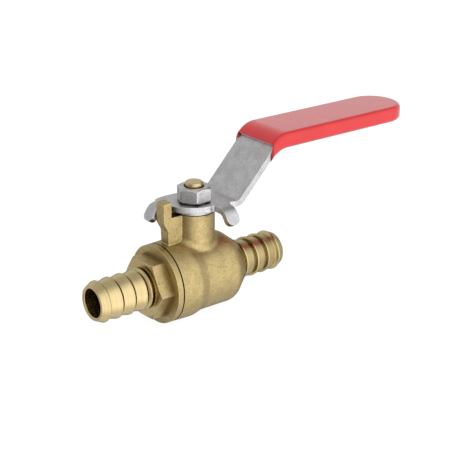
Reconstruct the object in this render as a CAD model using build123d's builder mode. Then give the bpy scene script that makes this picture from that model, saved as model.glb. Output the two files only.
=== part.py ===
from build123d import *
import os
from math import cos, radians, sin, sqrt, tan

# Half-inch crimp-barb ball valve with a lever handle.
#
# Frame: the origin is the ball's centre, where the waterway crosses the stem.
# +X runs along the waterway towards the outlet barb and, with the valve open,
# along the lever. +Z runs up the stem. All sizes are in millimetres.

# ---------------------------------------------------------------- waterway and barbs
WATERWAY_R = 4.31           # bore through both barbs and the ball
INLET_END_X = -36.55        # end face of the inlet barb
OUTLET_END_X = 31.2         # end face of the outlet barb
RIB_R = 6.25                # crest radius of the barb ribs
ROOT_R = 5.4                # radius behind the nose rib
NOSE_END_R = 5.2            # outer radius at a barb's end face
NOSE_LENGTH = 2.5           # end face to the back of the nose rib
RIB_PITCH = 4.25
RIB_COUNT = 4
RIB_LAND = 0.35             # short cylinder on each crest
NOSE_BACK_RUN = 0.6         # axial length of the nose rib's sloping back
SLOT_R = 5.1                # floor of the slot behind each later rib
SLOT_LENGTH = 0.75
SLOT_WALL_RUN = 0.06        # axial length of each slot wall
SLOT_EDGE_R = 5.6           # outer edge of the slot's far wall
BORE_BREAK = 0.25           # chamfer where the bore meets an end face

# ---------------------------------------------------------------- forged body
SEAM_X = -12.5              # face that the end retainer screws up against
SEAM_CHAMFER = 0.2
COLLAR_R = 12.0
COLLAR_HEEL_X = -5.9        # where the threaded collar starts to fall away
COLLAR_HEEL_R = 12.2
COLLAR_HEEL_ROUND = 4.5
BARREL_START_X = -2.6
BARREL_R = 11.34
BARREL_START_ROUND = 3.5
SHOULDER_X = 9.35           # where the barrel would meet the rear cone
SHOULDER_ROUND = 3.5
REAR_FACE_X = 14.2
REAR_FACE_R = 7.55
REAR_FACE_ROUND = 0.3
OUTLET_ROOT_R = 5.6

NECK_R = 6.2
NECK_TOP_Z = 20.5
NECK_FILLET = 2.0
NECK_TOP_CHAMFER = 0.2

LUG_HALF_WIDTH = 1.92       # stop lug, centred on the XZ plane
LUG_TOOTH_INNER_X = -9.65
LUG_TOOTH_OUTER_X = -12.5
LUG_TOOTH_TOP_Z = 25.2
LUG_TOOTH_HEEL_Z = 19.0     # where the tooth's outer face starts to slope in
LUG_STEM_TOP = (-11.05, 16.4)       # (x, z) where the slope ends
LUG_STEM_X = -10.75
LUG_CURVE_R = 1.6
LUG_ROOT_FILLET = 0.4
LUG_SHELF_Z = 20.4
LUG_FOOT_Z = 10.5           # buried in the barrel
LUG_ROOT_X = -5.0           # buried in the neck
LUG_CORNER_R = 0.9
LUG_EDGE_R = 0.4

# ---------------------------------------------------------------- inside of the body
THREAD_R = 9.4              # end retainer's threaded spigot, thread modelled as a plain cylinder
SPIGOT_END_X = -5.0
SPIGOT_CHAMFER = 0.4
CHAMBER_R = 8.0             # room for the ball
CHAMBER_END_X = 5.0
SEAT_POCKET_R = 6.65
SEAT_POCKET_DEPTH = 2.95
FIT_GAP = 0.05              # clearance between assembled pieces

# ---------------------------------------------------------------- ball and seats
BALL_R = 7.4
SLOT_WIDTH = 2.5            # across the top of the ball, square to its bore
SLOT_FLOOR_Z = 5.4
SEAT_BORE_R = 4.6
SEAT_OUTER_R = 6.6
SEAT_FACE_X = 4.6

# ---------------------------------------------------------------- stem and its seals
STEM_R = 3.6
STEM_BORE_R = 3.65
STEM_SHOULDER_R = 4.3       # blow-out shoulder, trapped inside the body
STEM_SHOULDER_Z = (8.1, 9.6)
STEM_COUNTERBORE_R = 4.5
THRUST_WASHER_T = 0.5
TANG_SIZE = (2.4, 6.4)      # along X and along Y
TANG_CORNER_R = 0.4
TANG_BOTTOM_Z = 5.55
ORING_SECTION_R = 0.62
ORING_CENTRE_R = 3.0
ORING_GROOVE_R = 2.36
ORING_GROOVE_WIDTH = 1.6
ORING_Z = (12.6, 16.4)
LEVER_SEAT_Z = 21.5         # stem shoulder that carries the lever
STEM_THREAD_R = 2.65        # round end for the nut, thread modelled as a plain cylinder
STEM_D_R = 3.3              # double-D that turns with the lever
STEM_FLAT_Y = STEM_THREAD_R
STEM_D_DROP = 0.15          # the double-D stops short of the lever's top face
STEM_TOP_Z = 29.26
STEM_TOP_CHAMFER = 0.25

# ---------------------------------------------------------------- end retainer outside
FLANGE_FRONT_X = -14.55
FLANGE_CHAMFER = 0.12
HEX_FRONT_X = -19.1
HEX_ACROSS_FLATS = 17.0
HEX_CHAMFER_ANGLE = 15.0    # from the hexagon's front face
HEX_CORNER_RISE = 2.0       # radial reach of the chamfer, past the corners
HEX_CORNER_DEPTH = HEX_CORNER_RISE * tan(radians(HEX_CHAMFER_ANGLE))
BEAD_X = (-19.95, -19.5)    # crest of the turned bead between the last rib and the hexagon
BEAD_R = 6.3
BEAD_FOOT_X = -20.65        # end of the last slot, where its conical front starts
BEAD_ROUND = 0.2
BEAD_STEP_RUN = 0.08        # axial length of its steep back
RETAINER_NECK_R = 5.3       # behind the bead

# ---------------------------------------------------------------- lever and its fasteners
SPACER_Z = (20.6, 21.45)    # flat washer between neck and lever
SPACER_R = (3.7, 6.35)
SPACER_CHAMFER = 0.15
LEVER_T = 1.75
HUB_R = 6.7                 # hub outline midway between the ears
HUB_REACH = 7.2             # hub outline beside the far ear
HUB_REACH_AT_LUG = 8.6      # hub outline beside the ear at the lug
HUB_ARC_START = 0.6
NOTCH_R = 0.8               # inside corner between hub and ear
ARM_HALF_WIDTH = 8.1
ARM_ROOT = ((7.25, -7.4), (8.95, -8.1))         # (x, y) where the near ear's side runs out to the arm
ARM_ROOT_R = 0.8
HUB_BACK = ((-0.5, 8.1), (-4.2, 8.35), (-7.0, 8.15), (-8.9, 7.4))   # (x, y) round the hub's far corner
HUB_BACK_R = 3.0
ARM_ANGLE = 46.5
ARM_POINT = (18.0, 30.85)   # a point (x, z) on the arm's sloping top face
LOWER_BEND_R = 2.4          # inner radius, top face
UPPER_BEND_R = 5.6          # inner radius, bottom face
GRIP_PLATE_TOP_Z = 39.3     # top face of the lever inside the grip
LEVER_TIP_X = 80.9

EAR_EDGE = 2.0              # ear side that meets the stop lug, distance from the stem's axis
EAR_FAR_EDGE = 6.35
EAR_BEND_AT = 9.6           # distance from the stem's axis where each ear starts to bend
EAR_BEND_ANGLE = 57.0
EAR_BEND_R = 2.0            # inner radius, bottom face
EAR_LENGTH = 3.05           # straight part beyond the bend
EAR_TIP_R = 1.9

NUT_ACROSS_FLATS = 9.3
NUT_FACE_R = 4.3            # flat ring on top, and the washer face below
NUT_FACE_Z = 23.75          # underside of the hexagon, above the washer face
NUT_TOP_Z = 27.95
NUT_TURN = 3.0              # angle at which the tightened nut stopped
NUT_BORE_R = 2.7
NUT_BORE_CHAMFER = 0.4
NUT_ENVELOPE_R = 6.1        # beyond the corners
NUT_UNDERSIDE_R = 5.05
NUT_TOP_ANGLE = 30.0
NUT_UNDERSIDE_ANGLE = 50.0

# ---------------------------------------------------------------- grip
GRIP_HALF_WIDTH = 8.9
GRIP_BOTTOM_Z = 35.95
GRIP_TOP_Z = 40.95
GRIP_TIP_X = 81.9
GRIP_CROWN_X = 29.2         # where the straight part ends and the grip follows the lever down
GRIP_EDGE_R = 1.4
GRIP_MOUTH_TOP = (23.2, 38.25)      # (x, z) of the mouth's upper and lower lips
GRIP_MOUTH_BOTTOM = (22.75, 32.7)
GRIP_LIP_FOOT = (24.05, 37.2)       # where the upper lip meets the lever

FAR = 60.0                  # longer than any piece, for cutting tools


def barb_outline(end_x, inward):
    """Points (x, r) of a ribbed barb, from its end face to the foot of its last rib."""
    profile = [
        (0, NOSE_END_R),
        (NOSE_LENGTH - RIB_LAND, RIB_R),
        (NOSE_LENGTH, RIB_R),
        (NOSE_LENGTH + NOSE_BACK_RUN, ROOT_R),
    ]
    for rib in range(1, RIB_COUNT):
        back = NOSE_LENGTH + rib * RIB_PITCH
        profile.append((back - RIB_LAND, RIB_R))
        profile.append((back, RIB_R))
        profile.append((back + SLOT_WALL_RUN, SLOT_R))
        profile.append((back + SLOT_LENGTH - SLOT_WALL_RUN, SLOT_R))
        profile.append((back + SLOT_LENGTH, SLOT_EDGE_R))
    return [(end_x + inward * run, r) for run, r in profile]


def is_lug_root(edge):
    """True for the edges along which the lug's sides meet the neck and the barrel."""
    near = 0.1
    middle = edge @ 0.5
    beside = abs(abs(middle.Y) - LUG_HALF_WIDTH) < near
    on_neck = abs(sqrt(middle.X**2 + middle.Y**2) - NECK_R) < near and middle.Z < LUG_SHELF_Z - near
    on_barrel = middle.Z < COLLAR_HEEL_R + 4 * near
    return beside and (on_neck or on_barrel)


def nearest(sketch, x, y):
    """The sketch's corner nearest to a point of its own plane."""
    return sketch.vertices().sort_by_distance((x, y))[0]


def waterway_outline(end_x, inner_x, inward):
    """Points (x, r) of the bore cut, with a chamfer at the end face."""
    return [
        (end_x - inward, 0),
        (end_x - inward, WATERWAY_R + BORE_BREAK + 1),
        (end_x, WATERWAY_R + BORE_BREAK),
        (end_x + inward * BORE_BREAK, WATERWAY_R),
        (inner_x, WATERWAY_R),
        (inner_x, 0),
    ]


def plate_thickness_down(angle):
    """Vertical distance between the faces of a plate that slopes at this angle."""
    return LEVER_T / cos(radians(angle))


def double_d(radius, flat):
    """A round with two flats, for the lever's hole."""
    Circle(radius)
    with Locations((0, flat + radius / 2), (0, -flat - radius / 2)):
        Rectangle(3 * radius, radius, mode=Mode.SUBTRACT)


def hexagon(across_flats, rotation=0.0):
    RegularPolygon(across_flats / 2, 6, major_radius=False, rotation=rotation)


# ================================================================ stop lug, part of the body's forging
with BuildPart() as lug:
    # a rib up the neck's inlet side that ends in a tooth beside the lever
    with BuildSketch(Plane.XZ) as lug_outline:
        with BuildLine():
            Polyline(
                (LUG_ROOT_X, LUG_SHELF_Z),
                (LUG_TOOTH_INNER_X, LUG_SHELF_Z),
                (LUG_TOOTH_INNER_X, LUG_TOOTH_TOP_Z),
                (LUG_TOOTH_OUTER_X, LUG_TOOTH_TOP_Z),
                (LUG_TOOTH_OUTER_X, LUG_TOOTH_HEEL_Z),
                LUG_STEM_TOP,
                (LUG_STEM_X, LUG_FOOT_Z),
                (LUG_ROOT_X, LUG_FOOT_Z),
                close=True,
            )
        make_face()
        fillet(nearest(lug_outline, LUG_TOOTH_OUTER_X, LUG_TOOTH_TOP_Z), radius=LUG_CORNER_R)
        fillet(nearest(lug_outline, LUG_TOOTH_OUTER_X, LUG_TOOTH_HEEL_Z), radius=LUG_CURVE_R)
        fillet(nearest(lug_outline, *LUG_STEM_TOP), radius=LUG_CURVE_R)
    extrude(amount=LUG_HALF_WIDTH, both=True)
    outside = lug.faces().filter_by(lambda f: f.center().X < LUG_TOOTH_INNER_X - 0.1).edges()
    fillet(outside.filter_by(lambda e: abs(abs(e.center().Y) - LUG_HALF_WIDTH) < 0.01), radius=LUG_EDGE_R)

# ================================================================ body
with BuildPart() as body:
    # outside, turned about the waterway
    with BuildSketch(Plane.XZ) as body_outline:
        with BuildLine():
            Polyline(
                (SEAM_X, 0),
                (SEAM_X, COLLAR_R),
                (COLLAR_HEEL_X, COLLAR_HEEL_R),
                (BARREL_START_X, BARREL_R),
                (SHOULDER_X, BARREL_R),
                (REAR_FACE_X, REAR_FACE_R),
                (REAR_FACE_X, OUTLET_ROOT_R),
                *reversed(barb_outline(OUTLET_END_X, -1)),
                (OUTLET_END_X, 0),
                close=True,
            )
        make_face()
        chamfer(nearest(body_outline, SEAM_X, COLLAR_R), length=SEAM_CHAMFER)
        fillet(nearest(body_outline, COLLAR_HEEL_X, COLLAR_HEEL_R), radius=COLLAR_HEEL_ROUND)
        fillet(nearest(body_outline, BARREL_START_X, BARREL_R), radius=BARREL_START_ROUND)
        fillet(nearest(body_outline, SHOULDER_X, BARREL_R), radius=SHOULDER_ROUND)
        fillet(nearest(body_outline, REAR_FACE_X, REAR_FACE_R), radius=REAR_FACE_ROUND)
    revolve(axis=Axis.X)
    forged_edges = body.edges()

    # neck for the stem
    with BuildSketch():
        Circle(NECK_R)
    extrude(amount=NECK_TOP_Z)
    root_edges = body.edges() - forged_edges
    root_edges = root_edges.filter_by(lambda e: abs(e.center().Z - NECK_TOP_Z) > 1 and e.center().Z > 5)
    root_edges = root_edges.filter_by(lambda e: e.geom_type != GeomType.LINE)
    fillet(root_edges, radius=NECK_FILLET)
    chamfer(body.edges().group_by(Axis.Z)[-1], length=NECK_TOP_CHAMFER)

    neck_edges = body.edges()
    add(lug.part)
    lug_roots = (body.edges() - neck_edges).filter_by(is_lug_root)
    fillet(lug_roots, radius=LUG_ROOT_FILLET)

    # threaded socket, ball chamber, outlet seat pocket and outlet bore
    with BuildSketch(Plane.XZ):
        with BuildLine():
            Polyline(
                (SEAM_X - 1, 0),
                (SEAM_X - 1, THREAD_R + FIT_GAP),
                (SPIGOT_END_X + FIT_GAP, THREAD_R + FIT_GAP),
                (SPIGOT_END_X + FIT_GAP, CHAMBER_R),
                (CHAMBER_END_X, CHAMBER_R),
                (CHAMBER_END_X, SEAT_POCKET_R),
                (CHAMBER_END_X + SEAT_POCKET_DEPTH, SEAT_POCKET_R),
                (CHAMBER_END_X + SEAT_POCKET_DEPTH, 0),
                close=True,
            )
        make_face()
    revolve(axis=Axis.X, mode=Mode.SUBTRACT)
    with BuildSketch(Plane.XZ):
        with BuildLine():
            Polyline(*waterway_outline(OUTLET_END_X, CHAMBER_END_X, -1), close=True)
        make_face()
    revolve(axis=Axis.X, mode=Mode.SUBTRACT)

    # stem bore, widened below for the blow-out shoulder and its washer
    with BuildSketch():
        Circle(STEM_BORE_R)
    extrude(amount=FAR, mode=Mode.SUBTRACT)
    with BuildSketch():
        Circle(STEM_COUNTERBORE_R)
    extrude(amount=STEM_SHOULDER_Z[1] + THRUST_WASHER_T + FIT_GAP, mode=Mode.SUBTRACT)

# ================================================================ end retainer
with BuildPart() as end_retainer:
    with BuildSketch(Plane.XZ) as retainer_outline:
        with BuildLine():
            Polyline(
                (INLET_END_X, 0),
                *barb_outline(INLET_END_X, 1)[:-2],
                (BEAD_FOOT_X, SLOT_R),
                (BEAD_FOOT_X + SLOT_WALL_RUN, SLOT_EDGE_R),
                (BEAD_X[0], BEAD_R),
                (BEAD_X[1], BEAD_R),
                (BEAD_X[1] + BEAD_STEP_RUN, RETAINER_NECK_R),
                (FLANGE_FRONT_X, RETAINER_NECK_R),
                (FLANGE_FRONT_X, COLLAR_R),
                (SEAM_X, COLLAR_R),
                (SEAM_X, THREAD_R),
                (SPIGOT_END_X, THREAD_R),
                (SPIGOT_END_X, 0),
                close=True,
            )
        make_face()
        fillet(nearest(retainer_outline, BEAD_X[0], BEAD_R), radius=BEAD_ROUND)
        fillet(nearest(retainer_outline, BEAD_X[1], BEAD_R), radius=BEAD_ROUND)
        chamfer(nearest(retainer_outline, FLANGE_FRONT_X, COLLAR_R), length=FLANGE_CHAMFER)
        chamfer(nearest(retainer_outline, SEAM_X, COLLAR_R), length=SEAM_CHAMFER)
        chamfer(nearest(retainer_outline, SPIGOT_END_X, THREAD_R), length=SPIGOT_CHAMFER)
    revolve(axis=Axis.X)

    # wrench hexagon with flats to the top and bottom, its front corners turned off
    with BuildSketch(Plane.YZ.offset(FLANGE_FRONT_X)):
        hexagon(HEX_ACROSS_FLATS)
    extrude(amount=HEX_FRONT_X - FLANGE_FRONT_X)
    with BuildSketch(Plane.XZ):
        with BuildLine():
            Polyline(
                (HEX_FRONT_X, HEX_ACROSS_FLATS / 2),
                (HEX_FRONT_X + HEX_CORNER_DEPTH, HEX_ACROSS_FLATS / 2 + HEX_CORNER_RISE),
                (HEX_FRONT_X, HEX_ACROSS_FLATS / 2 + HEX_CORNER_RISE),
                close=True,
            )
        make_face()
    revolve(axis=Axis.X, mode=Mode.SUBTRACT)

    # inlet bore and seat pocket
    with BuildSketch(Plane.XZ):
        with BuildLine():
            Polyline(*waterway_outline(INLET_END_X, SPIGOT_END_X + 1, 1), close=True)
        make_face()
    revolve(axis=Axis.X, mode=Mode.SUBTRACT)
    with BuildSketch(Plane.YZ.offset(SPIGOT_END_X)):
        Circle(SEAT_POCKET_R)
    extrude(amount=-SEAT_POCKET_DEPTH, mode=Mode.SUBTRACT)

# ================================================================ ball
with BuildPart() as ball:
    Sphere(BALL_R)
    with BuildSketch(Plane.YZ):
        Circle(WATERWAY_R)
    extrude(amount=FAR, both=True, mode=Mode.SUBTRACT)
    with BuildSketch(Plane.XY.offset(SLOT_FLOOR_Z)):
        Rectangle(SLOT_WIDTH, FAR)
    extrude(amount=FAR, mode=Mode.SUBTRACT)

# ================================================================ seats
def seat_profile(side):
    """Half section of a seat ring whose face is hollowed to the ball; side is +1 or -1 along X."""
    hollow_r = BALL_R + FIT_GAP
    back_x = CHAMBER_END_X + SEAT_POCKET_DEPTH - FIT_GAP
    lip_r = sqrt(hollow_r**2 - SEAT_FACE_X**2)
    throat_x = sqrt(hollow_r**2 - SEAT_BORE_R**2)
    mid_r = (lip_r + SEAT_BORE_R) / 2
    mid_x = sqrt(hollow_r**2 - mid_r**2)
    ThreePointArc((side * SEAT_FACE_X, lip_r), (side * mid_x, mid_r), (side * throat_x, SEAT_BORE_R))
    Polyline(
        (side * throat_x, SEAT_BORE_R),
        (side * back_x, SEAT_BORE_R),
        (side * back_x, SEAT_OUTER_R),
        (side * SEAT_FACE_X, SEAT_OUTER_R),
        (side * SEAT_FACE_X, lip_r),
    )


with BuildPart() as seat_outlet:
    with BuildSketch(Plane.XZ):
        with BuildLine():
            seat_profile(1)
        make_face()
    revolve(axis=Axis.X)

with BuildPart() as seat_inlet:
    with BuildSketch(Plane.XZ):
        with BuildLine():
            seat_profile(-1)
        make_face()
    revolve(axis=Axis.X)

# ================================================================ stem
with BuildPart() as stem:
    with BuildSketch(Plane.XZ) as stem_outline:
        with BuildLine():
            Polyline(
                (0, STEM_SHOULDER_Z[0]),
                (STEM_SHOULDER_R, STEM_SHOULDER_Z[0]),
                (STEM_SHOULDER_R, STEM_SHOULDER_Z[1]),
                (STEM_R, STEM_SHOULDER_Z[1]),
                (STEM_R, LEVER_SEAT_Z),
                (STEM_D_R, LEVER_SEAT_Z),
                (STEM_D_R, LEVER_SEAT_Z + LEVER_T - STEM_D_DROP),
                (STEM_THREAD_R, LEVER_SEAT_Z + LEVER_T - STEM_D_DROP),
                (STEM_THREAD_R, STEM_TOP_Z),
                (0, STEM_TOP_Z),
                close=True,
            )
        make_face()
        chamfer(nearest(stem_outline, STEM_THREAD_R, STEM_TOP_Z), length=STEM_TOP_CHAMFER)
        for groove_z in ORING_Z:
            with Locations((ORING_GROOVE_R, groove_z)):
                Rectangle(
                    2 * (STEM_R - ORING_GROOVE_R),
                    ORING_GROOVE_WIDTH,
                    align=(Align.MIN, Align.CENTER),
                    mode=Mode.SUBTRACT,
                )
    revolve(axis=Axis.Z)

    # flats that carry the lever
    with BuildSketch(Plane.XY.offset(LEVER_SEAT_Z)):
        Rectangle(4 * STEM_R, 4 * STEM_R)
        Rectangle(4 * STEM_R, 2 * STEM_FLAT_Y, mode=Mode.SUBTRACT)
    extrude(amount=FAR, mode=Mode.SUBTRACT)

    # tang that turns the ball
    with BuildSketch(Plane.XY.offset(TANG_BOTTOM_Z)) as tang_outline:
        Rectangle(*TANG_SIZE)
        fillet(tang_outline.vertices(), radius=TANG_CORNER_R)
    extrude(amount=STEM_SHOULDER_Z[0] - TANG_BOTTOM_Z)

with BuildPart() as stem_thrust_washer:
    with BuildSketch(Plane.XY.offset(STEM_SHOULDER_Z[1])):
        Circle(STEM_COUNTERBORE_R - FIT_GAP)
        Circle(STEM_BORE_R, mode=Mode.SUBTRACT)
    extrude(amount=THRUST_WASHER_T)

with BuildPart() as stem_oring_lower:
    with BuildSketch(Plane.XZ):
        with Locations((ORING_CENTRE_R, ORING_Z[0])):
            Circle(ORING_SECTION_R)
    revolve(axis=Axis.Z)

with BuildPart() as stem_oring_upper:
    with BuildSketch(Plane.XZ):
        with Locations((ORING_CENTRE_R, ORING_Z[1])):
            Circle(ORING_SECTION_R)
    revolve(axis=Axis.Z)

# ================================================================ lever washer
with BuildPart() as lever_washer:
    with BuildSketch(Plane.XY.offset(SPACER_Z[0])):
        Circle(SPACER_R[1])
        Circle(SPACER_R[0], mode=Mode.SUBTRACT)
    extrude(amount=SPACER_Z[1] - SPACER_Z[0])
    chamfer(lever_washer.faces().sort_by(Axis.Z)[0].outer_wire().edges(), length=SPACER_CHAMFER)

# ================================================================ lever
HUB_TOP_Z = LEVER_SEAT_Z + LEVER_T
SLOPE = tan(radians(ARM_ANGLE))
SLOPE_DOWN = plate_thickness_down(ARM_ANGLE)
GRIP_PLATE_BOTTOM_Z = GRIP_PLATE_TOP_Z - LEVER_T


def slope_x(z, below=0.0):
    """Where the arm's sloping top face, lowered by a vertical distance, has height z."""
    return ARM_POINT[0] + (z + below - ARM_POINT[1]) / SLOPE


def ear_side_profile():
    """Closed outline of a bent ear seen along its edge, in (distance, height)."""
    bend = radians(EAR_BEND_ANGLE)
    outer_r = EAR_BEND_R + LEVER_T
    centre = (EAR_BEND_AT, LEVER_SEAT_Z - EAR_BEND_R)
    run = (EAR_LENGTH * cos(bend), -EAR_LENGTH * sin(bend))
    outer_mid = (centre[0] + outer_r * sin(bend / 2), centre[1] + outer_r * cos(bend / 2))
    inner_mid = (centre[0] + EAR_BEND_R * sin(bend / 2), centre[1] + EAR_BEND_R * cos(bend / 2))
    outer_end = (centre[0] + outer_r * sin(bend), centre[1] + outer_r * cos(bend))
    inner_end = (centre[0] + EAR_BEND_R * sin(bend), centre[1] + EAR_BEND_R * cos(bend))
    outer_tip = (outer_end[0] + run[0], outer_end[1] + run[1])
    inner_tip = (inner_end[0] + run[0], inner_end[1] + run[1])
    root = HUB_R - 1.5
    Line((root, HUB_TOP_Z), (EAR_BEND_AT, HUB_TOP_Z))
    ThreePointArc((EAR_BEND_AT, HUB_TOP_Z), outer_mid, outer_end)
    Line(outer_end, outer_tip)
    Line(outer_tip, inner_tip)
    Line(inner_tip, inner_end)
    ThreePointArc(inner_end, inner_mid, (EAR_BEND_AT, LEVER_SEAT_Z))
    Line((EAR_BEND_AT, LEVER_SEAT_Z), (root, LEVER_SEAT_Z))
    Line((root, LEVER_SEAT_Z), (root, HUB_TOP_Z))


# side view of each ear, extruded across its width; one reaches along -X and one along -Y
EAR_MID = (EAR_EDGE + EAR_FAR_EDGE) / 2
EAR_WIDTH = EAR_FAR_EDGE - EAR_EDGE

with BuildPart() as lever:
    # arm and hub in side view, cut to their plan shape
    with BuildSketch(Plane.XZ) as arm_side:
        with BuildLine():
            Polyline(
                (-EAR_BEND_AT, HUB_TOP_Z),
                (slope_x(HUB_TOP_Z), HUB_TOP_Z),
                (slope_x(GRIP_PLATE_TOP_Z), GRIP_PLATE_TOP_Z),
                (LEVER_TIP_X, GRIP_PLATE_TOP_Z),
                (LEVER_TIP_X, GRIP_PLATE_BOTTOM_Z),
                (slope_x(GRIP_PLATE_BOTTOM_Z, SLOPE_DOWN), GRIP_PLATE_BOTTOM_Z),
                (slope_x(LEVER_SEAT_Z, SLOPE_DOWN), LEVER_SEAT_Z),
                (-EAR_BEND_AT, LEVER_SEAT_Z),
                close=True,
            )
        make_face()
        fillet(nearest(arm_side, slope_x(HUB_TOP_Z), HUB_TOP_Z), radius=LOWER_BEND_R)
        fillet(
            nearest(arm_side, slope_x(LEVER_SEAT_Z, SLOPE_DOWN), LEVER_SEAT_Z),
            radius=LOWER_BEND_R + LEVER_T,
        )
        fillet(
            nearest(arm_side, slope_x(GRIP_PLATE_BOTTOM_Z, SLOPE_DOWN), GRIP_PLATE_BOTTOM_Z),
            radius=UPPER_BEND_R,
        )
        fillet(
            nearest(arm_side, slope_x(GRIP_PLATE_TOP_Z), GRIP_PLATE_TOP_Z),
            radius=UPPER_BEND_R + LEVER_T,
        )
    extrude(amount=2 * ARM_HALF_WIDTH, both=True)
    with BuildSketch() as arm_plan:
        with BuildLine():
            hub_side = Line((-HUB_REACH_AT_LUG, EAR_EDGE), (-HUB_REACH_AT_LUG, HUB_ARC_START))
            hub_arc = ThreePointArc(
                hub_side @ 1,
                (-HUB_R * cos(radians(45)), -HUB_R * sin(radians(45))),
                (HUB_ARC_START, -HUB_REACH),
            )
            Polyline(
                hub_arc @ 1,
                (EAR_EDGE, -HUB_REACH),
                (EAR_EDGE, -EAR_BEND_AT),
                (EAR_FAR_EDGE, -EAR_BEND_AT),
                *ARM_ROOT,
                (LEVER_TIP_X, -ARM_HALF_WIDTH),
                (LEVER_TIP_X, ARM_HALF_WIDTH),
                *HUB_BACK,
                (-EAR_BEND_AT, EAR_FAR_EDGE),
                (-EAR_BEND_AT, EAR_EDGE),
                hub_side @ 0,
            )
        make_face()
        fillet(nearest(arm_plan, -HUB_REACH_AT_LUG, EAR_EDGE), radius=NOTCH_R)
        fillet(nearest(arm_plan, EAR_EDGE, -HUB_REACH), radius=NOTCH_R)
        fillet(nearest(arm_plan, *ARM_ROOT[0]), radius=ARM_ROOT_R)
        fillet(nearest(arm_plan, *HUB_BACK[2]), radius=HUB_BACK_R)
        for side in (1, -1):
            fillet(nearest(arm_plan, LEVER_TIP_X, side * ARM_HALF_WIDTH), radius=ARM_HALF_WIDTH - 0.05)
    extrude(amount=FAR, mode=Mode.INTERSECT)

    # ear on the -X side, whose edge rests on the lug while the valve is open
    with BuildSketch(Plane(origin=(0, EAR_MID, 0), x_dir=(-1, 0, 0), z_dir=(0, 1, 0))):
        with BuildLine():
            ear_side_profile()
        make_face()
    extrude(amount=EAR_WIDTH / 2, both=True)

    # ear on the -Y side, whose edge meets the lug when the valve is shut
    with BuildSketch(Plane(origin=(EAR_MID, 0, 0), x_dir=(0, -1, 0), z_dir=(-1, 0, 0))):
        with BuildLine():
            ear_side_profile()
        make_face()
    extrude(amount=EAR_WIDTH / 2, both=True)
    tip_corners = lever.edges().filter_by(lambda e: abs(e.length - LEVER_T) < 0.01).sort_by(Axis.Z)[:4]
    fillet(tip_corners, radius=EAR_TIP_R)

    # hole for the stem's flats
    with BuildSketch(Plane.XY.offset(LEVER_SEAT_Z - 1)):
        double_d(STEM_D_R + FIT_GAP, STEM_FLAT_Y + FIT_GAP)
    extrude(amount=LEVER_T + 2, mode=Mode.SUBTRACT)

# ================================================================ grip
with BuildPart() as grip:
    with BuildSketch(Plane.XZ):
        with BuildLine():
            bottom_run = Line((GRIP_TIP_X, GRIP_BOTTOM_Z), (GRIP_CROWN_X, GRIP_BOTTOM_Z))
            TangentArc(bottom_run @ 1, GRIP_MOUTH_BOTTOM, tangent=bottom_run % 1)
            Line(GRIP_MOUTH_BOTTOM, GRIP_MOUTH_TOP)
            top_run = Line((GRIP_TIP_X, GRIP_TOP_Z), (GRIP_CROWN_X, GRIP_TOP_Z))
            TangentArc(top_run @ 1, GRIP_MOUTH_TOP, tangent=top_run % 1)
            Line((GRIP_TIP_X, GRIP_TOP_Z), (GRIP_TIP_X, GRIP_BOTTOM_Z))
        make_face()
    extrude(amount=GRIP_HALF_WIDTH, both=True)
    with BuildSketch() as grip_plan:
        Rectangle(GRIP_TIP_X, 2 * GRIP_HALF_WIDTH, align=(Align.MIN, Align.CENTER))
        for side in (1, -1):
            fillet(nearest(grip_plan, GRIP_TIP_X, side * GRIP_HALF_WIDTH), radius=GRIP_HALF_WIDTH - 0.05)
    extrude(amount=FAR, mode=Mode.INTERSECT)
    mouth_edges = grip.faces().sort_by(Axis.X)[0].edges()
    fillet((grip.edges() - mouth_edges).filter_by(Axis.Z, reverse=True), radius=GRIP_EDGE_R)

    # the upper lip is undercut, so that its edge meets the lever square on
    with BuildSketch(Plane.XZ):
        with BuildLine():
            Polyline(
                (GRIP_MOUTH_TOP[0] - 2, GRIP_MOUTH_TOP[1]),
                GRIP_MOUTH_TOP,
                GRIP_LIP_FOOT,
                (GRIP_LIP_FOOT[0] - 2, GRIP_LIP_FOOT[1] - 2 * SLOPE),
                close=True,
            )
        make_face()
    extrude(amount=ARM_HALF_WIDTH, both=True, mode=Mode.SUBTRACT)

    # pocket that the lever fills
    add(lever.part, mode=Mode.SUBTRACT)

# ================================================================ nut
with BuildPart() as handle_nut:
    with BuildSketch(Plane.XY.offset(NUT_FACE_Z)):
        hexagon(NUT_ACROSS_FLATS, rotation=NUT_TURN)
    extrude(amount=NUT_TOP_Z - NUT_FACE_Z)
    # corner chamfers, top and bottom, as one turned envelope
    nut_underside_rise = (NUT_ENVELOPE_R - NUT_UNDERSIDE_R) * tan(radians(NUT_UNDERSIDE_ANGLE))
    nut_top_drop = (NUT_ENVELOPE_R - NUT_FACE_R) * tan(radians(NUT_TOP_ANGLE))
    with BuildSketch(Plane.XZ):
        with BuildLine():
            Polyline(
                (0, NUT_FACE_Z),
                (NUT_UNDERSIDE_R, NUT_FACE_Z),
                (NUT_ENVELOPE_R, NUT_FACE_Z + nut_underside_rise),
                (NUT_ENVELOPE_R, NUT_TOP_Z - nut_top_drop),
                (NUT_FACE_R, NUT_TOP_Z),
                (0, NUT_TOP_Z),
                close=True,
            )
        make_face()
    revolve(axis=Axis.Z, mode=Mode.INTERSECT)
    # washer face that bears on the lever
    with BuildSketch(Plane.XY.offset(HUB_TOP_Z)):
        Circle(NUT_FACE_R)
    extrude(amount=NUT_FACE_Z - HUB_TOP_Z)
    with BuildSketch(Plane.XY.offset(HUB_TOP_Z)):
        Circle(NUT_BORE_R)
    extrude(amount=FAR, mode=Mode.SUBTRACT)
    bore_mouth = handle_nut.edges().filter_by(GeomType.CIRCLE).filter_by(lambda e: e.radius < NUT_BORE_R + 0.01)
    chamfer(bore_mouth.sort_by(Axis.Z)[-1], length=NUT_BORE_CHAMFER)

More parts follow.
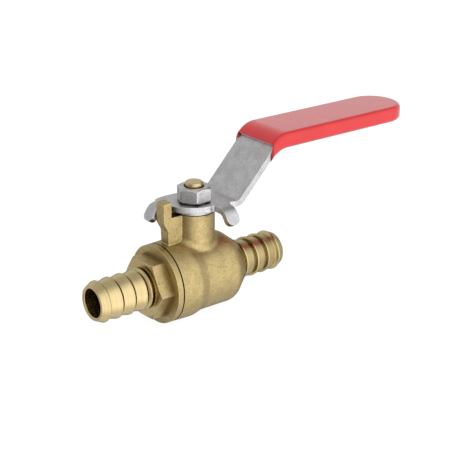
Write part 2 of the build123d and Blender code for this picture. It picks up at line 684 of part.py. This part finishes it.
# ================================================================ output
pieces = {
    "body": body,
    "end_retainer": end_retainer,
    "ball": ball,
    "seat_inlet": seat_inlet,
    "seat_outlet": seat_outlet,
    "stem": stem,
    "stem_thrust_washer": stem_thrust_washer,
    "stem_oring_lower": stem_oring_lower,
    "stem_oring_upper": stem_oring_upper,
    "lever_washer": lever_washer,
    "lever": lever,
    "grip": grip,
    "handle_nut": handle_nut,
}
os.makedirs("parts", exist_ok=True)
for label, piece in pieces.items():
    piece.part.label = label
    export_step(piece.part, f"parts/{label}.step")
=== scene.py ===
import bpy
from mathutils import Euler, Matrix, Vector


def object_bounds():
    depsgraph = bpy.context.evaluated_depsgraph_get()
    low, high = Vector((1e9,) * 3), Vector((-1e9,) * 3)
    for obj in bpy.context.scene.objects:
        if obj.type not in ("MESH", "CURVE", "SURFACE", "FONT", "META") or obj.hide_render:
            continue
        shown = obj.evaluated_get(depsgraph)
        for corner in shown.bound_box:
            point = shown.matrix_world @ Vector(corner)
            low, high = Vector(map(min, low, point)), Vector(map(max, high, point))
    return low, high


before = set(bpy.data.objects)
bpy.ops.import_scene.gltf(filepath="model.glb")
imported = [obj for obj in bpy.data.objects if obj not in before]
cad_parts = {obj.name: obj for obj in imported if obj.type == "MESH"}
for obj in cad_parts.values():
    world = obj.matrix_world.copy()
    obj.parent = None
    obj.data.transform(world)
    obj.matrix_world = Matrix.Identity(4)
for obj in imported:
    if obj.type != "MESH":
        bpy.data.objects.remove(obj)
cad_low, cad_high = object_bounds()
scene = bpy.context.scene
scene.view_settings.view_transform = "Standard"
scene.view_settings.look = "None"

# Materials work in millimetres, measured in the object's own frame: X along the waterway, Z up the stem.
MM = 1000.0

# ---------------------------------------------------------------- where the brass changes, in millimetres
BARB_FROM = 14.2            # the outlet barb is turned beyond this X, the rest of the body is as forged
SPIGOT_TO = -19.04          # the inlet barb and the hexagon's front face are turned before this X
HEX_FRONT_X = -19.1         # front face of the hexagon
BODY_BORE_R = 9.6           # inside this radius the body is bored
RETAINER_BORE_R = 6.6       # inside this radius the end retainer is bored
FINISH_BLEND = 0.05         # over which a turned face gives way to a forged one

SEAM_X = -12.5              # joint between body and end retainer
SEAM_HALF_WIDTH = (0.16, 0.30)      # dirt is full out to the first distance and gone at the second
COLLAR_R = 12.3             # just outside the collar, so that the stop lug is left out of the seam
SEAM_DIRT = 0.98

RIB_PITCH = 4.25
FIRST_SLOT_X = -29.8        # where the inlet barb's first slot starts; the others follow at the ribs' pitch
OUTLET_SLOT_SHIFT = 2.5     # the outlet barb's slots are this much out of step with them
SLOT_RADII = (4.6, 5.35)    # between which painted shade sits in a slot
SLOT_RADII_FADE = (0.1, 0.04)       # how long its fade is at each of them, which lies just below that radius
SLOT_SHADE_MIDDLE = 0.55     # middle of the painted shade, from the slot's start
SLOT_SHADE_HALF_WIDTH = 0.27
SLOT_SHADE_FADE = 0.06       # over which it fades out, inside that half width
SLOT_SHADE = (0.95, 0.50)    # how dark the painted shade in the slots is, on the inlet and on the outlet barb
TURNED_CREVICE_SHADE = (0.25, 0.10)  # the same painted shade, for the other corners of the turned faces
# painted shade in the small crevices of the forged faces
FORGED_CREVICE_SHADE = 0.92

# ---------------------------------------------------------------- colours
FORGED_LIGHT = (0.56, 0.44, 0.208)
FORGED_DARK = (0.465, 0.358, 0.164)
# brown of the grain's pits, also used as painted shade in sheltered hollows
PATINA_AND_SHADE = (0.17, 0.105, 0.042)
TURNED_LIGHT = (0.68, 0.555, 0.30)
TURNED_DARK = (0.54, 0.415, 0.195)
# worn brass at the edges, partly a painted highlight
WORN_BRASS_AND_HIGHLIGHT = (0.80, 0.68, 0.42)
# nearly black: painted shade in crevices, slots and on faces turned down, and dirt along the seam
GRIME_AND_PAINTED_SHADE = (0.022, 0.014, 0.008)

STEEL_LIGHT = (0.66, 0.65, 0.66)
NUT_LIGHT = (0.74, 0.73, 0.74)
WASHER_LIGHT = (0.66, 0.64, 0.60)
STEEL_DARK = (0.56, 0.55, 0.56)
STEEL_PIT = (0.30, 0.29, 0.30)
# worn steel at the edges, partly a painted highlight
WORN_STEEL_AND_HIGHLIGHT = (0.88, 0.87, 0.88)

VINYL_LIGHT = (0.73, 0.013, 0.019)
VINYL_DARK = (0.68, 0.008, 0.012)
VINYL_SHADE = (0.08, 0.005, 0.006)
CHROME_LIGHT = (0.80, 0.80, 0.81)
CHROME_DARK = (0.74, 0.74, 0.76)
POLYMER_LIGHT = (0.86, 0.86, 0.83)
POLYMER_DARK = (0.78, 0.78, 0.75)
RUBBER_LIGHT = (0.022, 0.022, 0.022)
RUBBER_DARK = (0.014, 0.014, 0.014)


# ---------------------------------------------------------------- node helpers
MIX_COLOURS = (6, 7)        # the Mix node's two colour inputs, and its colour output
MIX_RESULT = 2
RAY_SAMPLES = 8             # rays per sample for softened edges and crevices


class Tree:
    """A node tree, with short names for making its nodes and joining them."""

    def __init__(self, tree):
        self.tree = tree

    def new(self, kind, **settings):
        node = self.tree.nodes.new("ShaderNode" + kind)
        for name, value in settings.items():
            setattr(node, name, value)
        return node

    def feed(self, node, key, value):
        """Join a socket to the node's input, or set the input to a fixed value."""
        if isinstance(value, bpy.types.NodeSocket):
            self.tree.links.new(value, node.inputs[key])
        else:
            node.inputs[key].default_value = value

    def math(self, operation, a, b=0.0):
        node = self.new("Math", operation=operation)
        self.feed(node, 0, a)
        self.feed(node, 1, b)
        return node.outputs[0]

    def ramp(self, value, low, high, to_low=0.0, to_high=1.0):
        """Goes smoothly from to_low to to_high as value goes from low to high, and stays there."""
        node = self.new("MapRange", interpolation_type="SMOOTHSTEP")
        self.feed(node, "Value", value)
        self.feed(node, "From Min", low)
        self.feed(node, "From Max", high)
        self.feed(node, "To Min", to_low)
        self.feed(node, "To Max", to_high)
        return node.outputs["Result"]

    def dot(self, a, b):
        node = self.new("VectorMath", operation="DOT_PRODUCT")
        self.feed(node, 0, a)
        self.feed(node, 1, b)
        return node.outputs["Value"]


class Nodes(Tree):
    """One material's node tree. mm is the place on the object in millimetres, and x, y, z its parts."""

    def __init__(self, name):
        self.material = bpy.data.materials.new(name)
        self.material.use_nodes = True
        super().__init__(self.material.node_tree)
        self.shader = self.tree.nodes["Principled BSDF"]
        scale = self.new("VectorMath", operation="SCALE")
        self.feed(scale, 0, self.new("TexCoord").outputs["Object"])
        self.feed(scale, "Scale", MM)
        self.mm = scale.outputs[0]
        self.x, self.y, self.z = self.parts(self.mm)

    def parts(self, vector):
        node = self.new("SeparateXYZ")
        self.feed(node, 0, vector)
        return node.outputs

    def mix(self, factor, a, b):
        """Colour a where factor is 0, colour b where it is 1."""
        node = self.new("Mix", data_type="RGBA")
        self.feed(node, 0, factor)
        for key, colour in zip(MIX_COLOURS, (a, b)):
            self.feed(node, key, colour if isinstance(colour, bpy.types.NodeSocket) else (*colour, 1.0))
        return node.outputs[MIX_RESULT]

    def cover(self, colour, coat, mask, strength):
        """The colour, with this much of the coat over it where the mask is 1."""
        return self.mix(self.math("MULTIPLY", mask, strength), colour, coat)

    def noise(self, per_mm, detail=3.0, roughness=0.55, vector=None):
        """Noise with about this many lumps per millimetre."""
        node = self.new("TexNoise")
        self.feed(node, "Vector", vector or self.mm)
        self.feed(node, "Scale", per_mm)
        self.feed(node, "Detail", detail)
        self.feed(node, "Roughness", roughness)
        return node.outputs["Fac"]

    def stretched(self, x, y, z):
        """The place on the object, with each axis scaled by its own number."""
        node = self.new("VectorMath", operation="MULTIPLY")
        self.feed(node, 0, self.mm)
        self.feed(node, 1, (x, y, z))
        return node.outputs[0]

    def vector(self, x, y, z):
        node = self.new("CombineXYZ")
        self.feed(node, 0, x)
        self.feed(node, 1, y)
        self.feed(node, 2, z)
        return node.outputs[0]

    def radius(self, a, b):
        return self.math("SQRT", self.math("ADD", self.math("MULTIPLY", a, a), self.math("MULTIPLY", b, b)))

    def facing_up(self):
        """1 where the surface faces up, -1 where it faces down."""
        return self.parts(self.new("NewGeometry").outputs["Normal"])["Z"]

    def crevices(self, reach_mm, low=0.30, high=0.80):
        """1 deep in a crevice, 0 out in the open."""
        open_air = self.new("AmbientOcclusion", samples=RAY_SAMPLES)
        self.feed(open_air, "Distance", reach_mm / MM)
        return self.ramp(open_air.outputs["AO"], low, high, to_low=1.0, to_high=0.0)

    def soft_normal(self, radius_mm):
        """The surface's normal, with its edges rounded to this radius."""
        bevel = self.new("Bevel", samples=RAY_SAMPLES)
        self.feed(bevel, "Radius", radius_mm / MM)
        return bevel.outputs[0]

    def outer_edges(self, soft_normal):
        """1 where the softened normal leaves the true one, except in inner corners."""
        sameness = self.dot(soft_normal, self.new("NewGeometry").outputs["Normal"])
        edge = self.ramp(sameness, 0.88, 0.99, to_low=1.0, to_high=0.0)
        outer = self.math("SUBTRACT", 1.0, self.crevices(reach_mm=0.8, low=0.55, high=0.90))
        return self.math("MULTIPLY", edge, outer)

    def bump(self, height, depth_mm, normal):
        node = self.new("Bump")
        self.feed(node, "Strength", 1.0)
        self.feed(node, "Distance", depth_mm / MM)
        self.feed(node, "Height", height)
        self.feed(node, "Normal", normal)
        return node.outputs[0]

    def finish(self, colour, roughness, normal, **fixed):
        self.feed(self.shader, "Base Color", colour)
        self.feed(self.shader, "Roughness", roughness)
        self.feed(self.shader, "Normal", normal)
        for name, value in fixed.items():
            self.feed(self.shader, name.replace("_", " "), value)
        return self.material


# ---------------------------------------------------------------- brass
def per_barb(n, strengths):
    """The first strength on the inlet's side of the ball, the second on the outlet's side."""
    return n.ramp(n.x, -1.0, 1.0, *strengths)


def slots(n, machined):
    """How much painted shade darkens the corner of each slot behind the barbs' ribs."""
    r = n.radius(n.y, n.z)
    (floor_r, rim_r), (floor_fade, rim_fade) = SLOT_RADII, SLOT_RADII_FADE
    below_rim = n.ramp(r, rim_r - rim_fade, rim_r, to_low=1.0, to_high=0.0)
    above_floor = n.ramp(r, floor_r - floor_fade, floor_r)
    deep = n.math("MULTIPLY", below_rim, above_floor)
    turns = n.math("DIVIDE", n.math("SUBTRACT", n.x, FIRST_SLOT_X), RIB_PITCH)
    along = n.math("MULTIPLY", n.math("FRACT", turns), RIB_PITCH)
    shift = n.math("MULTIPLY", n.math("GREATER_THAN", n.x, 0.0), OUTLET_SLOT_SHIFT)
    away = n.math("ABSOLUTE", n.math("SUBTRACT", along, n.math("ADD", shift, SLOT_SHADE_MIDDLE)))
    full_to = SLOT_SHADE_HALF_WIDTH - SLOT_SHADE_FADE
    corner = n.ramp(away, full_to, SLOT_SHADE_HALF_WIDTH, per_barb(n, SLOT_SHADE), 0.0)
    return n.math("MULTIPLY", machined, n.math("MULTIPLY", deep, corner))


def seam(n):
    """How much dirt sits along the joint between body and end retainer."""
    away = n.math("ABSOLUTE", n.math("SUBTRACT", n.x, SEAM_X))
    r = n.radius(n.y, n.z)
    collar = n.math("MULTIPLY", n.math("GREATER_THAN", r, BODY_BORE_R), n.math("LESS_THAN", r, COLLAR_R))
    return n.math("MULTIPLY", n.ramp(away, *SEAM_HALF_WIDTH, SEAM_DIRT, 0.0), collar)


def brass(name, machined):
    """Forged brass with a fine blasted grain, and turned brass where machined(n) is 1."""
    n = Nodes(name)
    turned_part = machined(n)
    forged_part = n.math("SUBTRACT", 1.0, turned_part)
    blotch = n.noise(per_mm=0.35, detail=5.0, roughness=0.62)
    grain = n.noise(per_mm=1.7, roughness=0.7)
    tool_lines = n.noise(per_mm=1.0, roughness=0.7, vector=n.stretched(8.0, 0.06, 0.06))
    soft_normal = n.soft_normal(radius_mm=0.32)

    # The forging darkens in the grain's pits, gets painted shade in patina colour where it is sheltered, and
    # its edges are worn bright with a painted highlight.
    forged = n.mix(n.ramp(blotch, 0.30, 0.70), FORGED_DARK, FORGED_LIGHT)
    pits = n.ramp(grain, 0.30, 0.56, to_low=0.36, to_high=0.0)
    forged = n.mix(pits, forged, PATINA_AND_SHADE)
    behind_hexagon = n.ramp(n.x, HEX_FRONT_X, HEX_FRONT_X + 0.5, to_low=0.12, to_high=0.90)
    forged = n.cover(forged, PATINA_AND_SHADE, n.crevices(reach_mm=3.2, low=0.30, high=0.90), behind_hexagon)
    forged = n.cover(forged, WORN_BRASS_AND_HIGHLIGHT, n.outer_edges(soft_normal), 0.7)

    turned = n.mix(n.ramp(tool_lines, 0.3, 0.7), TURNED_DARK, TURNED_LIGHT)
    colour = n.mix(turned_part, forged, turned)
    # Painted shade: small crevices are darkened almost to black, more on the forged faces than on the turned
    # ones.
    turned_crevice_shade = n.math("MULTIPLY", turned_part, per_barb(n, TURNED_CREVICE_SHADE))
    crevice_shade = n.math("ADD", n.math("MULTIPLY", forged_part, FORGED_CREVICE_SHADE), turned_crevice_shade)
    colour = n.cover(colour, GRIME_AND_PAINTED_SHADE, n.crevices(reach_mm=0.8, low=0.25, high=0.62), crevice_shade)
    # Painted shade in the corners of the barbs' slots, and dirt along the joint between body and end
    # retainer.
    colour = n.mix(n.math("MAXIMUM", slots(n, turned_part), seam(n)), colour, GRIME_AND_PAINTED_SHADE)

    # The tool marks are a twentieth as deep as the blasted grain, and the turned faces are smoother.
    forged_rough = n.ramp(grain, 0.3, 0.7, to_low=0.48, to_high=0.37)
    turned_rough = n.ramp(blotch, 0.3, 0.7, to_low=0.22, to_high=0.30)
    rough = n.math("ADD", n.math("MULTIPLY", forged_rough, forged_part),
                   n.math("MULTIPLY", turned_rough, turned_part))
    height = n.math("ADD", n.math("MULTIPLY", grain, forged_part),
                    n.math("MULTIPLY", tool_lines, n.math("MULTIPLY", turned_part, 0.05)))
    return n.finish(colour, rough, n.bump(height, 0.06, soft_normal), Metallic=1.0)


def body_machined(n):
    barb = n.ramp(n.x, BARB_FROM - FINISH_BLEND, BARB_FROM + FINISH_BLEND)
    bore = n.ramp(n.radius(n.y, n.z), BODY_BORE_R, BODY_BORE_R + FINISH_BLEND, 1.0, 0.0)
    return n.math("MAXIMUM", barb, bore)


def retainer_machined(n):
    barb = n.ramp(n.x, SPIGOT_TO - FINISH_BLEND, SPIGOT_TO + FINISH_BLEND, 1.0, 0.0)
    bore = n.ramp(n.radius(n.y, n.z), RETAINER_BORE_R, RETAINER_BORE_R + 2 * FINISH_BLEND, 1.0, 0.0)
    return n.math("MAXIMUM", barb, bore)


def turned_stem(name):
    """Faced and turned about the stem's axis, so that the tool marks are rings."""
    n = Nodes(name)
    across = n.math("MULTIPLY", n.radius(n.x, n.y), 4.0)
    along = n.math("MULTIPLY", n.z, 5.0)
    rings = n.noise(per_mm=1.0, detail=2.0, vector=n.vector(across, 0.0, along))
    soft_normal = n.soft_normal(radius_mm=0.15)
    colour = n.mix(n.ramp(rings, 0.3, 0.7), TURNED_DARK, TURNED_LIGHT)
    # Its edges are worn bright with a painted highlight, and its crevices get painted shade.
    colour = n.cover(colour, WORN_BRASS_AND_HIGHLIGHT, n.outer_edges(soft_normal), 0.6)
    colour = n.cover(colour, GRIME_AND_PAINTED_SHADE, n.crevices(reach_mm=1.2), 0.92)
    roughness = n.ramp(rings, 0.3, 0.7, to_low=0.22, to_high=0.32)
    return n.finish(colour, roughness, n.bump(rings, 0.004, soft_normal), Metallic=1.0)


# ---------------------------------------------------------------- steel, vinyl, polymer and rubber
def plated_steel(name, light, edge_mm, grain_depth_mm):
    """Satin plating with fine pits, edges worn bright with a painted highlight, and painted shade in the
    corners and on faces turned downwards.
    """
    n = Nodes(name)
    cloud = n.noise(per_mm=0.35, detail=4.0)
    grain = n.noise(per_mm=2.2, roughness=0.75)
    soft_normal = n.soft_normal(edge_mm)
    pits = n.ramp(grain, 0.34, 0.58, to_low=0.40, to_high=0.0)
    underside_shade = n.ramp(n.facing_up(), -0.55, -0.12, to_low=0.80, to_high=0.0)
    colour = n.mix(n.ramp(cloud, 0.35, 0.65), STEEL_DARK, light)
    colour = n.mix(pits, colour, STEEL_PIT)
    # The edges are worn bright with a painted highlight; the corners and the faces turned downwards get
    # painted shade.
    colour = n.cover(colour, WORN_STEEL_AND_HIGHLIGHT, n.outer_edges(soft_normal), 0.7)
    colour = n.cover(colour, GRIME_AND_PAINTED_SHADE, n.crevices(reach_mm=3.0, low=0.30, high=0.95), 0.30)
    colour = n.cover(colour, GRIME_AND_PAINTED_SHADE, n.crevices(reach_mm=0.9, low=0.25, high=0.70), 0.93)
    colour = n.mix(underside_shade, colour, GRIME_AND_PAINTED_SHADE)
    roughness = n.ramp(grain, 0.3, 0.7, to_low=0.44, to_high=0.32)
    return n.finish(colour, roughness, n.bump(grain, grain_depth_mm, soft_normal), Metallic=1.0)


def grip_vinyl(name):
    """Dipped vinyl: a soft gloss over faintly uneven red, with a bloom at grazing angles."""
    n = Nodes(name)
    cloud = n.noise(per_mm=0.12)
    skin = n.noise(per_mm=0.9)
    colour = n.mix(n.ramp(cloud, 0.3, 0.7), VINYL_DARK, VINYL_LIGHT)
    # Painted shade in the crevices.
    colour = n.cover(colour, VINYL_SHADE, n.crevices(reach_mm=1.2), 0.9)
    roughness = n.ramp(skin, 0.3, 0.7, to_low=0.30, to_high=0.40)
    return n.finish(colour, roughness, n.bump(skin, 0.010, n.soft_normal(radius_mm=0.9)),
                    IOR=1.42, Coat_Weight=0.5, Coat_Roughness=0.22, Sheen_Weight=1.0, Sheen_Roughness=0.33)


def plain(name, light, dark, clouds_per_mm, roughness, depth_mm, **fixed):
    """A clean surface with faint clouds and a grain six times as fine."""
    n = Nodes(name)
    cloud = n.noise(clouds_per_mm)
    grain = n.noise(clouds_per_mm * 6.0)
    return n.finish(n.mix(n.ramp(cloud, 0.3, 0.7), dark, light),
                    n.ramp(cloud, 0.3, 0.7, to_low=roughness, to_high=roughness + 0.08),
                    n.bump(grain, depth_mm, n.soft_normal(radius_mm=0.08)), **fixed)


# ---------------------------------------------------------------- every CAD node gets its material
chrome = plain("ball_plate", CHROME_LIGHT, CHROME_DARK, clouds_per_mm=0.4, roughness=0.06, depth_mm=0.001,
               Metallic=1.0)
polymer = plain("seat_polymer", POLYMER_LIGHT, POLYMER_DARK, clouds_per_mm=0.5, roughness=0.35,
                depth_mm=0.004)
rubber = plain("seal_rubber", RUBBER_LIGHT, RUBBER_DARK, clouds_per_mm=1.5, roughness=0.5, depth_mm=0.01)
finishes = {
    "body": brass("forged_brass_body", body_machined),
    "end_retainer": brass("forged_brass_retainer", retainer_machined),
    "stem": turned_stem("turned_brass_stem"),
    "ball": chrome,
    "seat_inlet": polymer,
    "seat_outlet": polymer,
    "stem_thrust_washer": polymer,
    "stem_oring_lower": rubber,
    "stem_oring_upper": rubber,
    "lever_washer": plated_steel("plated_steel_washer", WASHER_LIGHT, edge_mm=0.2, grain_depth_mm=0.006),
    "lever": plated_steel("plated_steel_lever", STEEL_LIGHT, edge_mm=0.22, grain_depth_mm=0.015),
    "handle_nut": plated_steel("plated_steel_nut", NUT_LIGHT, edge_mm=0.35, grain_depth_mm=0.008),
    "grip": grip_vinyl("grip_vinyl"),
}
for node, finish in finishes.items():
    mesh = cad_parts[node].data
    mesh.materials.clear()
    mesh.materials.append(finish)
    for face in mesh.polygons:
        face.material_index = 0

# ---------------------------------------------------------------- floor
FLOOR_SIZE = 8.0
FLOOR_GAP = 0.00002         # keeps the floor's face off the collar's lowest point
FLOOR_GREY = 0.16
FLOOR_GLOW = 0.93           # the floor lights itself, so that it stays white under any light

centre = (cad_low + cad_high) / 2
bpy.ops.mesh.primitive_plane_add(size=FLOOR_SIZE, location=(centre.x, centre.y, cad_low.z - FLOOR_GAP))
floor = bpy.context.object
floor.name = "floor"
floor_white = bpy.data.materials.new("floor_white")
floor_white.use_nodes = True
paint = floor_white.node_tree.nodes["Principled BSDF"].inputs
paint["Base Color"].default_value = (FLOOR_GREY, FLOOR_GREY, FLOOR_GREY, 1.0)
paint["Roughness"].default_value = 1.0
paint["Specular IOR Level"].default_value = 0.0
paint["Emission Color"].default_value = (1.0, 1.0, 1.0, 1.0)
paint["Emission Strength"].default_value = FLOOR_GLOW
floor.data.materials.append(floor_white)
floor.visible_glossy = False
floor.visible_diffuse = False

# ---------------------------------------------------------------- studio light
# The studio is a pale tent, brighter where it has a soft box and darker where it has a black card.
# Each row is: which way it lies, the cosine where it starts, the cosine where it is full, and what it
# adds, which is negative for a card.
TENT = 0.58
PANELS = (
    ((0.05, -0.97, 0.20), 0.20, 1.0, 1.05),
    ((0.55, 0.78, 0.30), 0.75, 1.0, 0.17),
    ((0.78, 0.28, 0.55), 0.84, 1.0, -0.36),
    ((-0.60, 0.75, 0.20), 0.50, 1.0, 0.12),
    ((-0.92, -0.14, -0.37), 0.80, 1.0, -0.32),
    ((0.58, 0.72, -0.37), 0.78, 1.0, -0.52),
    ((0.0, -0.5, -1.0), 0.40, 1.0, 0.35),
)
world = bpy.data.worlds.new("studio")
scene.world = world
world.use_nodes = True
sky = Tree(world.node_tree)
direction = sky.new("TexCoord").outputs["Generated"]
brightness = TENT
for towards, start, full, gain in PANELS:
    cosine = sky.dot(direction, Vector(towards).normalized())
    brightness = sky.math("ADD", sky.ramp(cosine, start, full, 0.0, gain), brightness)
background = world.node_tree.nodes["Background"]
sky.feed(background, "Color", (1.0, 1.0, 1.0, 1.0))
sky.feed(background, "Strength", brightness)

# ---------------------------------------------------------------- camera
CAMERA_AT = (-0.202159, -0.266432, 0.148533)
CAMERA_TURN = (1.1919728, -0.0101207, -0.6726881)
SENSOR_MM = 36.0
LENS_MM = 96.52498
CLIP = (0.01, 20.0)         # nearest and furthest distance that the camera sees

camera_data = bpy.data.cameras.new("camera")
camera_data.sensor_width = SENSOR_MM
camera_data.lens = LENS_MM
camera_data.clip_start, camera_data.clip_end = CLIP
camera = bpy.data.objects.new("camera", camera_data)
scene.collection.objects.link(camera)
camera.location = CAMERA_AT
camera.rotation_euler = Euler(CAMERA_TURN)
scene.camera = camera
